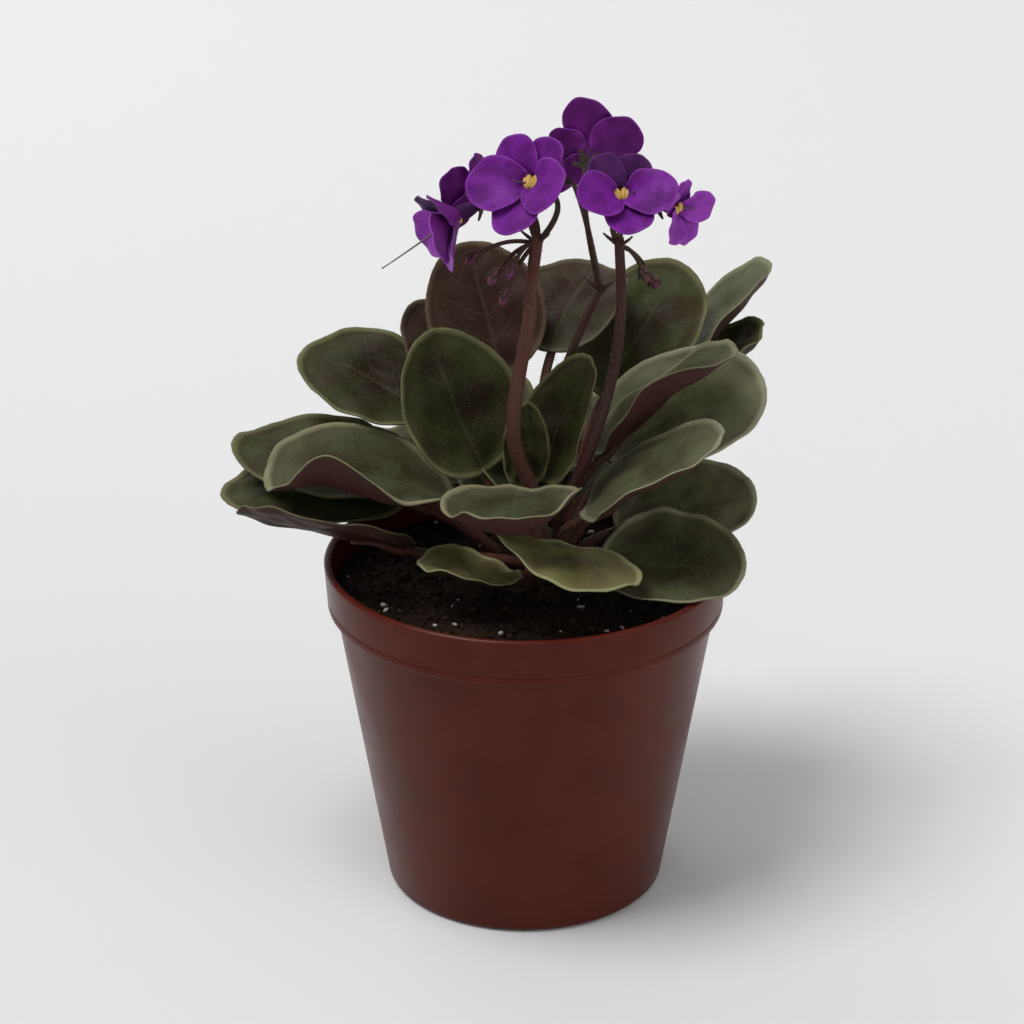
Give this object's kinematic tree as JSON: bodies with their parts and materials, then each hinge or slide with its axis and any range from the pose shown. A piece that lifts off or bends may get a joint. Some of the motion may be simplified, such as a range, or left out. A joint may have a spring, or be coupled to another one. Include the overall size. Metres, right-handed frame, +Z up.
{
  "type": "potted african violet",
  "caption": "Flowering African violet with cupped, pale-edged leaves and clustered purple blooms, growing in a tapered plastic pot of soil.",
  "frame": {"origin": "middle of the pot's flat underside, on the surface that the pot stands on", "axes": "+Z up along the pot's axis, -Y towards the front that the blooms face"},
  "size_m": [0.1664, 0.147, 0.2421],
  "materials": {
    "pot": "smooth satin moulded plastic, red-brown",
    "soil": null,
    "crown": "green-brown fleshy stem",
    "leaf": "thick fleshy leaf, fine down, dark olive with pale margin",
    "stalk": "downy reddish flower stalk",
    "petal": "velvety violet petal",
    "anther": "smooth yellow anther"
  },
  "bodies": {
    "root": {"pot": "pot", "soil": "soil", "crown": "crown", "leaf_back_left_dark": "leaf", "leaf_back_left_low": "leaf", "leaf_back_left_tall": "leaf", "leaf_back_left_under": "leaf", "leaf_back_low": "leaf", "leaf_back_middle": "leaf", "leaf_back_right_long": "leaf", "leaf_back_right_low": "leaf", "leaf_back_right_tall": "leaf", "leaf_back_right_under": "leaf", "leaf_back_tall": "leaf", "leaf_centre_small": "leaf", "leaf_centre_upright": "leaf", "leaf_front_left": "leaf", "leaf_front_middle": "leaf", "leaf_front_right": "leaf", "leaf_left_edge": "leaf", "leaf_left_inner": "leaf", "leaf_left_lower": "leaf", "leaf_left_upper": "leaf", "leaf_left_wavy": "leaf", "leaf_right_broad": "leaf", "leaf_right_folded": "leaf", "leaf_right_front": "leaf", "leaf_right_low": "leaf", "leaf_right_under": "leaf", "stalk_back": "stalk", "stalk_left": "stalk", "stalk_right": "stalk", "bloom_back": "petal", "bloom_front_left": "petal", "bloom_front_right": "petal", "bloom_left": "petal", "bloom_left_back": "petal", "bloom_right": "petal", "bloom_top": "petal", "anthers_back": "anther", "anthers_front_left": "anther", "anthers_front_right": "anther", "anthers_left": "anther", "anthers_left_back": "anther", "anthers_right": "anther", "anthers_top": "anther"}
  },
  "joints": []
}
